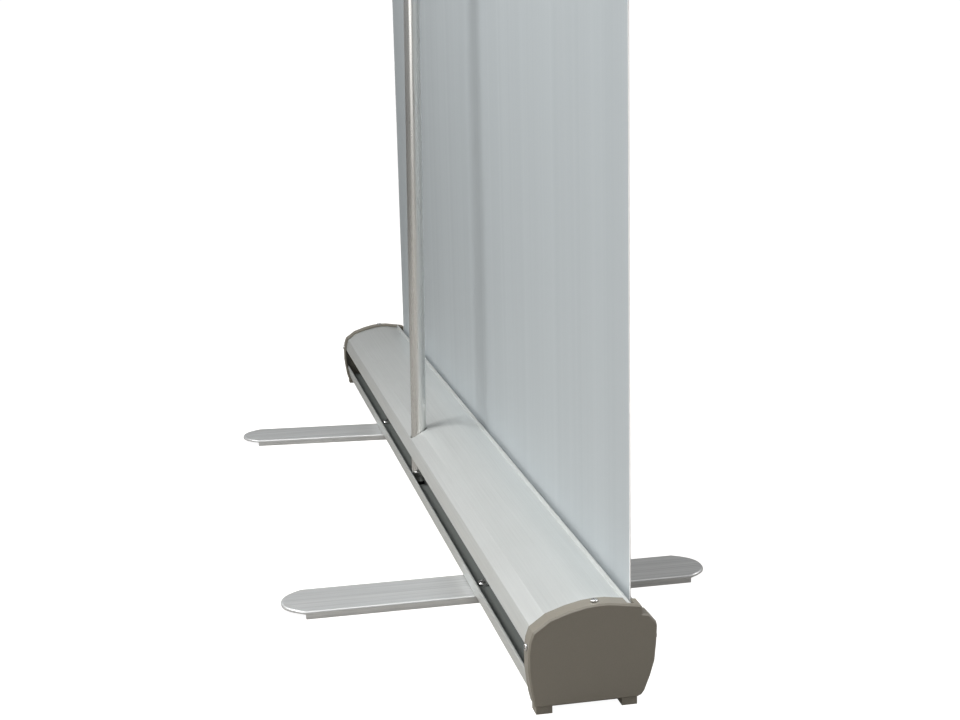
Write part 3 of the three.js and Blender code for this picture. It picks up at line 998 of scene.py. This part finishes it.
@dataclass
class EndCaps:
    """The moulded caps of the cassette and of the top rail, and the screws in them."""

    finishes: Finishes
    rounding: float = 0.45 * MM
    head_radius: float = 2.2 * MM
    head_height: float = 1.2 * MM
    head_rim: float = 0.35
    shoulder: float = 0.7
    stub: float = 1.2 * MM
    seat: float = 1.05 * MM
    cross_width: float = 0.5 * MM
    cross_reach: float = 1.3 * MM
    cross_floor: float = 0.45

    def screw(self) -> Object:
        """Make one pan-head screw with a cross recess, standing on the origin.

        Returns:
            The screw.
        """
        dome = [(0.0, -self.stub), (self.stub, -self.stub), (self.stub, 0.0), (self.head_radius, 0.0)]
        for step in range(DOME_STEPS + 1):
            lean = 0.5 * math.pi * step / DOME_STEPS
            height = self.head_height * (self.head_rim + (1 - self.head_rim) * math.sin(lean))
            across = self.head_radius * math.cos(lean) ** self.shoulder if step < DOME_STEPS else 0.0
            dome.append((across, height))
        screw = lathe("cap screw", dome, Matrix.Identity(4), 32)
        top, floor = 2 * self.head_height, self.cross_floor * self.head_height
        half, reach = self.cross_width / 2, self.cross_reach
        slots = [
            slab("slot across", Vector((-reach, -half, floor)), Vector((reach, half, top))),
            slab("slot along", Vector((-half, -reach, floor)), Vector((half, reach, top))),
        ]
        carve(screw, slots)
        shade(screw.data)
        return screw

    def screws(self) -> None:
        """Put a screw at each of the six places."""
        aims = {"top": (0, 0, 1), "rear": (0, 1, 0), "front": (0, -1, 0)}
        pairs = product(("left", "right"), aims.items())
        nodes = [(f"cap_screw_{side}_{where}", aim) for side, (where, aim) in pairs]
        points = bpy.data.meshes.new("cap screws")
        seats = []
        for node, aim in nodes:
            low, high = node_box(node)
            out = Vector(aim)
            reach = (high - low).dot(Vector([abs(part) for part in aim])) / 2
            seats.append((low + high) / 2 + out * (reach - self.seat))
        points.from_pydata(seats, [], [])
        aim_of = points.attributes.new("aim", "FLOAT_VECTOR", "POINT")
        for place, (_, aim) in enumerate(nodes):
            aim_of.data[place].vector = aim
        screw = self.screw()
        start = new_object("cap screws", points)
        made = grown(start, screws_tree(), Screw=screw, Finish=self.finishes.plated)
        bpy.data.objects.remove(screw)
        shade(made.data)
        dress(made, self.finishes.plated, "cassette", *(node for node, _ in nodes))

    def build(self) -> None:
        """Make the caps and their screws."""
        for side in ("left", "right"):
            cap = round_edges(copy_of(f"end_cap_{side}", f"cap moulding {side}"), self.rounding)
            dress(cap, self.finishes.cap, "cassette", f"end_cap_{side}")
            rail_cap = round_edges(copy_of(f"rail_cap_{side}", f"rail end moulding {side}"), self.rounding)
            dress(rail_cap, self.finishes.black, "top_rail", f"rail_cap_{side}")
        self.screws()


@dataclass
class Feet:
    """The swing-out feet with their pivot bolts."""

    finishes: Finishes
    top_round: float = 1.3 * MM
    rim_turn: float = 1.0
    pivot_clear: float = 6 * MM
    head_radius: float = 4.3 * MM
    head_height: float = 2.6 * MM
    head_rim: float = 0.8 * MM
    head_dome: float = 1.8 * MM
    shank: float = 2.4 * MM
    socket_radius: float = 1.7 * MM
    socket_depth: float = 1.4 * MM

    def build(self) -> None:
        """Make both feet and bolts, and dress the washers and nuts."""
        for side in ("left", "right"):
            foot = copy_of(f"foot_{side}", f"foot bar {side}")
            self.roll_top(foot, side)
            dress(foot, self.finishes.foot, f"foot_{side}", f"foot_{side}")
            self.bolt(side)
            coat([f"foot_washer_{side}"], self.finishes.black)
            coat([f"foot_nut_{side}"], self.finishes.steel)

    def roll_top(self, foot: Object, side: str) -> None:
        """Round the foot's top edge over into its side wall.

        Args:
            foot: The foot.
            side: left or right.
        """
        low, high = node_box(f"foot_bolt_{side}")
        pivot = (low + high) / 2
        shell = bmesh.new()
        shell.from_mesh(foot.data)
        top = max(vertex.co.z for vertex in shell.verts)
        rim = []
        for edge in shell.edges:
            middle = (edge.verts[0].co + edge.verts[1].co) / 2
            level = all(abs(vertex.co.z - top) < LEVEL_WITHIN for vertex in edge.verts)
            clear = (middle - pivot).xy.length > self.pivot_clear
            if level and clear and edge.calc_face_angle(0) > self.rim_turn:
                rim.append(edge)
        bmesh.ops.bevel(shell, geom=rim, offset=self.top_round, segments=6, profile=0.5, affect="EDGES")
        shell.to_mesh(foot.data)
        shell.free()
        shade(foot.data)
        settled = foot.modifiers.new("flat faces stay flat", "WEIGHTED_NORMAL")
        settled.keep_sharp = True
        settled.weight = 100
        bake_modifiers(foot)

    def bolt(self, side: str) -> None:
        """Make a domed pivot bolt with a hexagon socket.

        Args:
            side: left or right.
        """
        node = f"foot_bolt_{side}"
        low, high = node_box(node)
        base = high.z - self.head_height
        dome = [(0.0, low.z), (self.shank, low.z), (self.shank, base), (self.head_radius, base)]
        for step in range(DOME_STEPS + 1):
            lean = 0.5 * math.pi * step / DOME_STEPS
            rise = base + self.head_rim + self.head_dome * math.sin(lean)
            dome.append((self.head_radius * math.cos(lean) if step < DOME_STEPS else 0.0, rise))
        place = upright_at(low, high)
        bolt = lathe(f"pivot bolt {side}", dome, place, 48)
        key = tube_profile(0, self.socket_radius, high.z - self.socket_depth, high.z + MM, 0.0)
        carve(bolt, [lathe("socket", key, place, 6)])
        shade(bolt.data)
        dress(bolt, self.finishes.plated, "cassette", node)


@dataclass
class Pole:
    """The three-piece pole, from its foot plug to the hook under the top rail."""

    finishes: Finishes
    lean: float = math.radians(0.87)
    foot: Triple = (0.0, 14.0 * MM, 8.4 * MM)
    radius: float = 6.3 * MM
    wall: float = 0.8 * MM
    edge: float = 0.35 * MM
    ferrule_gap: float = 0.3 * MM
    ferrule_wall: float = MM
    ferrule_edge: float = 0.4 * MM
    head_round: float = 0.9 * MM
    hook_round: float = 0.5 * MM
    plug_round: float = 0.3 * MM
    tip_height: float = 2.2 * MM

    def place(self) -> Matrix:
        """Give the leaning frame that the pole is built in, with its axis along Z."""
        return Matrix.Translation(self.foot) @ Matrix.Rotation(self.lean, 4, "X")

    def span(self, node: str) -> Span:
        """Give the heights along the pole between which a round node lies.

        Args:
            node: A CAD node on the pole.

        Returns:
            Its lower and upper height along the axis.
        """
        back = self.place().inverted()
        along = [(back @ vertex.co).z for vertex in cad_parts[node].data.vertices]
        return min(along), max(along)

    def tubes(self) -> None:
        """Make the three tubes and the ferrules between them."""
        inner = self.radius - self.wall
        bodies = {"lower": "pole_base", "middle": "pole_mid", "upper": "pole_top"}
        for part, body in bodies.items():
            low, high = self.span(f"pole_{part}")
            profile = tube_profile(inner, self.radius, low, high, self.edge)
            tube = lathe(f"pole {part} tube", profile, self.place(), 72)
            dress(tube, self.finishes.pole, body, f"pole_{part}")
        for part, body in (("lower", "pole_base"), ("upper", "pole_mid")):
            low, high = self.span(f"pole_ferrule_{part}")
            outer = inner - self.ferrule_gap
            profile = tube_profile(outer - self.ferrule_wall, outer, low, high, self.ferrule_edge)
            ferrule = lathe(f"ferrule {part}", profile, self.place(), 48)
            dress(ferrule, self.finishes.pole, body, f"pole_ferrule_{part}")

    def build(self) -> None:
        """Make the pole's pieces and dress the ones inside it."""
        self.tubes()
        head = round_edges(copy_of("pole_head", "head block"), self.head_round, 4)
        dress(head, self.finishes.black, "pole_top", "pole_head")
        hook = round_edges(copy_of("pole_head_hook", "head hook"), self.hook_round)
        dress(hook, self.finishes.black, "pole_top", "pole_head_hook")
        plug = round_edges(copy_of("pole_foot_plug", "foot plug"), self.plug_round, 2)
        dress(plug, self.finishes.pole, "pole_base", "pole_foot_plug")
        plug.data.materials.append(self.finishes.black)
        tip = node_box("pole_foot_plug")[0].z + self.tip_height
        for face in plug.data.polygons:
            if face.center.z < tip:
                face.material_index = 1
        coat(["pole_seat_pad"], self.finishes.rubber)
        coat(["cord_stop_lower", "cord_stop_upper"], self.finishes.plated)
        coat(["shock_cord"], self.finishes.braid)


@dataclass
class Roller:
    """The sprung roller inside the cassette."""

    finishes: Finishes
    wire_radius: float = MM
    pitch: float = 4.2 * MM

    def build(self) -> None:
        """Wind the spring and dress the rest."""
        low, high = node_box("torsion_spring")
        middle = (low + high) / 2
        outer = (high.z - low.z) / 2
        length = high.x - low.x - 2 * self.wire_radius
        seed = bpy.data.meshes.new("torsion spring")
        spring = grown(
            new_object("coil spring", seed),
            coil_tree(),
            Centre=(low.x + self.wire_radius, middle.y, middle.z),
            Length=length,
            Radius=outer - self.wire_radius,
            Wire_Radius=self.wire_radius,
            Turns=length / self.pitch,
            Finish=self.finishes.steel,
        )
        spring.data.shade_smooth()
        dress(spring, self.finishes.steel, "roller", "torsion_spring")
        coat(["roller_tube"], self.finishes.profile)
        coat(["wound_film"], self.finishes.film_back)
        moulded = ["drive_plug", "idler_plug", "shaft_block", "spring_anchor", "idler_washer"]
        coat(moulded, self.finishes.black)
        coat(["spring_shaft", "idler_pin"], self.finishes.steel)


@dataclass
class BannerFilm:
    """The film from the roller to the top rail."""

    finishes: Finishes
    columns: int = 64
    rows: int = 120
    thickness: float = 0.4 * MM
    bow: float = 0.2 * MM
    fade: float = 0.6
    waves: tuple[Triple, ...] = ((0.6, 1.5, 0.12), (0.4, 3.2, 0.0))
    trim: float = 1.2 * MM
    anchor: float = 34.5 * MM

    def sway(self, across: float, up: float) -> float:
        """Give how far the film stands off its plane.

        Args:
            across: From 0 to 1 over its width.
            up: From 0 to 1 from the slot to the rail.

        Returns:
            The offset along Y, 0 where the film is held.
        """
        held = math.sin(math.pi * min(max(up, 0.0), 1.0)) ** self.fade
        turn = 2 * math.pi
        swings = [share * math.sin(turn * (count * across + shift)) for share, count, shift in self.waves]
        return self.bow * held * sum(swings)

    def build(self) -> None:
        """Make the film as one thin closed sheet with a white front and a grey back."""
        low, high = node_box("banner_film")
        middle = (low.y + high.y) / 2
        slot = node_box("top_cover")[1].z
        rail = node_box("rail_back")[0].z
        corners: list[Vector] = []
        faces: list[tuple[int, ...]] = []
        inner = self.trim / (high.x - low.x)
        step = (1 - 2 * inner) / (self.columns - 2)
        stations = [0.0, *(inner + step * at for at in range(self.columns - 1)), 1.0]
        for side in (-1, 1):
            for row in range(self.rows + 1):
                z = low.z + (high.z - low.z) * row / self.rows
                for across in stations:
                    y = middle + self.sway(across, (z - slot) / (rail - slot)) + side * self.thickness / 2
                    corners.append(Vector((low.x + (high.x - low.x) * across, y, z)))
        wide = self.columns + 1
        layer = wide * (self.rows + 1)
        for base, row, column in product((0, layer), range(self.rows), range(self.columns)):
            at = base + row * wide + column
            faces.append((at, at + 1, at + wide + 1, at + wide))
        edge = [(at, at + 1) for at in range(self.columns)]
        edge += [(self.columns + row * wide, self.columns + (row + 1) * wide) for row in range(self.rows)]
        edge += [(self.rows * wide + at + 1, self.rows * wide + at) for at in range(self.columns)]
        edge += [((row + 1) * wide, row * wide) for row in range(self.rows)]
        faces += [(a, b, b + layer, a + layer) for a, b in edge]
        film = new_object("film sheet", mesh_from("film sheet", corners, faces))
        dress(film, self.finishes.film_back, "cassette", "banner_film")
        film.data.materials.append(self.finishes.film_front)
        trim = high.x - self.trim
        for face in film.data.polygons:
            white = face.normal.y < -FACING or abs(face.center.x) > trim
            face.material_index = 1 if white else 0
        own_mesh(film)
        log.info("film %.3f by %.3f m", high.x - low.x, high.z - low.z)


# ---- studio


@dataclass(frozen=True)
class Lamp:
    """A soft rectangular light."""

    name: str
    place: Triple
    target: Triple
    size: Span
    power: float
    colour: Triple = (1.0, 1.0, 1.0)
    spread: float = math.pi

    def hang(self) -> None:
        """Put the light in the scene, aimed at its target."""
        light = bpy.data.lights.new(self.name, "AREA")
        light.shape = "RECTANGLE"
        light.size, light.size_y = self.size
        light.energy = self.power
        light.color = self.colour
        light.spread = self.spread
        lamp = bpy.data.objects.new(self.name, light)
        aim = Vector(self.target) - Vector(self.place)
        turn = aim.to_track_quat("-Z", "Y").to_matrix().to_4x4()
        lamp.matrix_world = Matrix.Translation(self.place) @ turn
        bpy.context.scene.collection.objects.link(lamp)


@dataclass
class Studio:
    """The floor, the lights and the camera."""

    camera_place: Triple = (-1.2357, 0.2075, 0.3815)
    view_along: Triple = (0.95864, -0.19220, -0.20993)
    right: Triple = (-0.20139, -0.97924, -0.02311)
    lens: float = 58.0
    sensor: float = 36.0
    near_clip: float = 0.02
    floor_half: float = 14.0
    floor_colour: tuple[float, float, float, float] = (0.28, 0.265, 0.245, 1.0)
    floor_shine: float = 0.97
    ambient: float = 0.2
    backdrop: float = 1.05

    def camera(self) -> None:
        """Stand the camera close to one end, looking down along the rear of the cassette."""
        forward = Vector(self.view_along).normalized()
        right = Vector(self.right)
        right = (right - forward * right.dot(forward)).normalized()
        up = right.cross(forward)
        turn = Matrix((right, up, -forward)).transposed().to_4x4()
        data = bpy.data.cameras.new("camera")
        data.lens = self.lens
        data.sensor_width = self.sensor
        data.sensor_fit = "HORIZONTAL"
        data.clip_start = self.near_clip
        camera = bpy.data.objects.new("camera", data)
        camera.matrix_world = Matrix.Translation(self.camera_place) @ turn
        bpy.context.scene.collection.objects.link(camera)
        bpy.context.scene.camera = camera

    def floor(self) -> None:
        """Lay a plain pale floor, whose glow only the camera sees."""
        half = self.floor_half
        mesh = bpy.data.meshes.new("floor")
        corners = [(-half, -half, 0), (half, -half, 0), (half, half, 0), (-half, half, 0)]
        mesh.from_pydata(corners, [], [(0, 1, 2, 3)])
        floor = new_object("floor", mesh)
        paint = Paint("floor")
        seen = paint.tree.add("ShaderNodeLightPath").outputs["Is Camera Ray"]
        shine = paint.tree.add("ShaderNodeMath", MULTIPLY, i0=seen, i1=self.floor_shine)
        paint.set(Base_Color=self.floor_colour, Roughness=0.9, Emission_Color=(1, 1, 1, 1))
        paint.set(Emission_Strength=shine.outputs[0])
        mesh.materials.append(paint.material)

    def world(self) -> None:
        """Set a soft white surround that is plain white to the eye."""
        world = bpy.data.worlds.new("surround")
        world.use_nodes = True
        world.node_tree.nodes.clear()
        tree = Tree(world.node_tree)
        soft = tree.add("ShaderNodeBackground", Color=(1, 1, 1, 1), Strength=self.ambient)
        plain = tree.add("ShaderNodeBackground", Color=(1, 1, 1, 1), Strength=self.backdrop)
        seen = tree.add("ShaderNodeLightPath").outputs["Is Camera Ray"]
        mix = tree.add("ShaderNodeMixShader", Fac=seen)
        out = tree.add("ShaderNodeOutputWorld")
        tree.feed(mix.inputs[1], soft.outputs[0])
        tree.feed(mix.inputs[2], plain.outputs[0])
        tree.feed(out.inputs["Surface"], mix.outputs[0])
        bpy.context.scene.world = world

    def build(self) -> None:
        """Set up the studio."""
        self.camera()
        self.floor()
        self.world()
        lamps = [
            Lamp("key", (0.0, 1.25, 1.65), (-0.55, 0.0, 0.0), (1.3, 0.4), 13.5, spread=1.65),
            Lamp("near fill", (-1.6, 1.0, 0.8), (-0.4, 0.0, 0.1), (1.2, 1.2), 9.0, (1.0, 0.985, 0.96)),
            Lamp("overhead", (-0.7, 0.25, 2.3), (-0.3, 0.1, 0.0), (1.4, 1.4), 9.0, spread=2.2),
            Lamp("front fill", (-0.5, -2.4, 1.8), (0.0, 0.0, 0.7), (1.6, 1.6), 46.0),
            Lamp("upper fill", (0.3, 2.6, 2.2), (0.1, 0.0, 1.75), (1.0, 1.0), 4.5, spread=0.85),
        ]
        for lamp in lamps:
            lamp.hang()
        bpy.context.scene.view_settings.view_transform = "Standard"


def main() -> None:
    """Build every sub-assembly and the studio."""
    logging.basicConfig(level=logging.INFO, format="%(name)s: %(message)s")
    Studio().build()
    finishes = Finishes()
    pole = Pole(finishes)
    Bars(finishes).build(pole)
    EndCaps(finishes).build()
    Feet(finishes).build()
    pole.build()
    Roller(finishes).build()
    BannerFilm(finishes).build()


if __name__ == "__main__":
    main()
